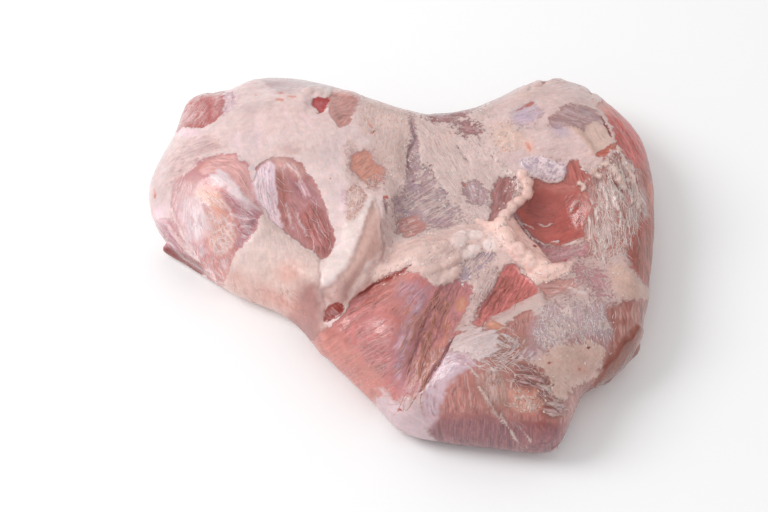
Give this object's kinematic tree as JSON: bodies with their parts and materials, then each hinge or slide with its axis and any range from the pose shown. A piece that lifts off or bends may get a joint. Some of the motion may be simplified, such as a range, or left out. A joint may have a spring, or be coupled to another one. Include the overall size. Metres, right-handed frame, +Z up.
{
  "type": "boneless ham",
  "caption": "Raw boneless ham laid flat: a skinless pork leg with muscles in relief, folds of fat, a rope of fat round an open pocket and trimmed ends at its rim.",
  "frame": {"origin": "under the middle of the ham's bounding box, on the surface that it lies on", "axes": "+X along the ham's length towards the broad end with the open pocket, +Y towards the back edge with its hollow, +Z up"},
  "size_m": [0.4334, 0.3786, 0.0923],
  "materials": {
    "raw_pork": "raw pork, moist: pink to deep red lean, cream fat and bluish silverskin"
  },
  "bodies": {
    "root": {"ham": "raw_pork"}
  },
  "joints": []
}
